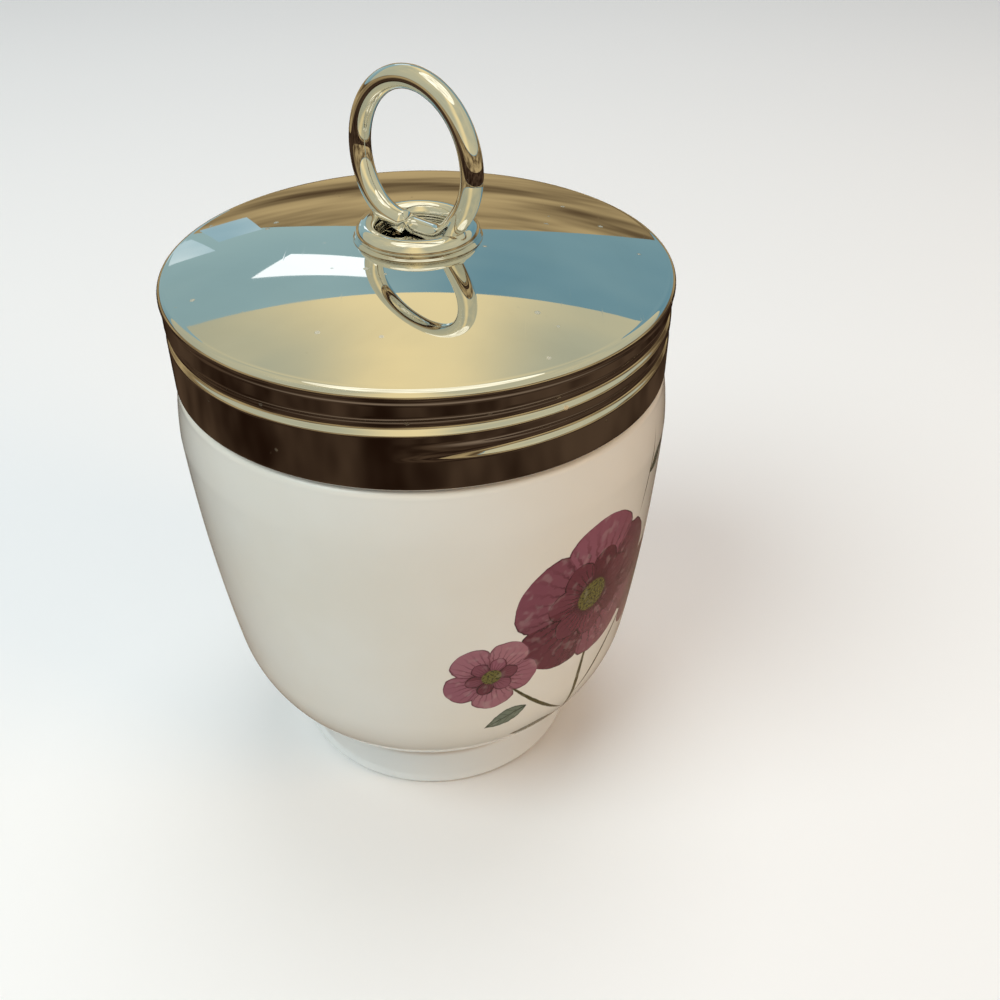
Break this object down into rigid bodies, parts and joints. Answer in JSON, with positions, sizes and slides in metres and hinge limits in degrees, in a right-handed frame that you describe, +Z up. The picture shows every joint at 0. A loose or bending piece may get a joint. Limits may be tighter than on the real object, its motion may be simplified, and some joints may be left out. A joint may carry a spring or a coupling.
{
  "type": "egg coddler",
  "caption": "Small porcelain cup with a foot ring and a threaded neck, closed by a shallow metal screw lid with a soldered wire lift ring.",
  "frame": {"origin": "centre of the foot ring, on the surface the cup stands on", "axes": "+Z up along the cup's axis; -Y is the front, where the picture looks from"},
  "size_m": [0.0602, 0.0602, 0.0918],
  "materials": {
    "porcelain": "clear glaze over a printed flower sprig",
    "lid_chrome": "bright plated, lightly scratched",
    "ring_chrome": "bright plated wire",
    "solder": "plated solder, slightly dull"
  },
  "bodies": {
    "cup": {"cup": "porcelain"},
    "riser": {"solder_ring": "solder"},
    "lid": {"lid": "lid_chrome", "lift_ring": "ring_chrome"}
  },
  "joints": [
    {"name": "lid_rise", "type": "slide", "parent": "cup", "child": "riser", "axis": [0, 0, 1], "range_m": [0, 0.01275]},
    {"name": "lid_unscrew", "type": "hinge", "parent": "riser", "child": "lid", "pos_m": [0, 0, 0.07], "axis": [0, 0, 1], "range_deg": [0, 1530]}
  ],
  "couplings": [
    {"joint": "lid_rise", "follows": "lid_unscrew", "m_per_rad": 0.00047746}
  ]
}
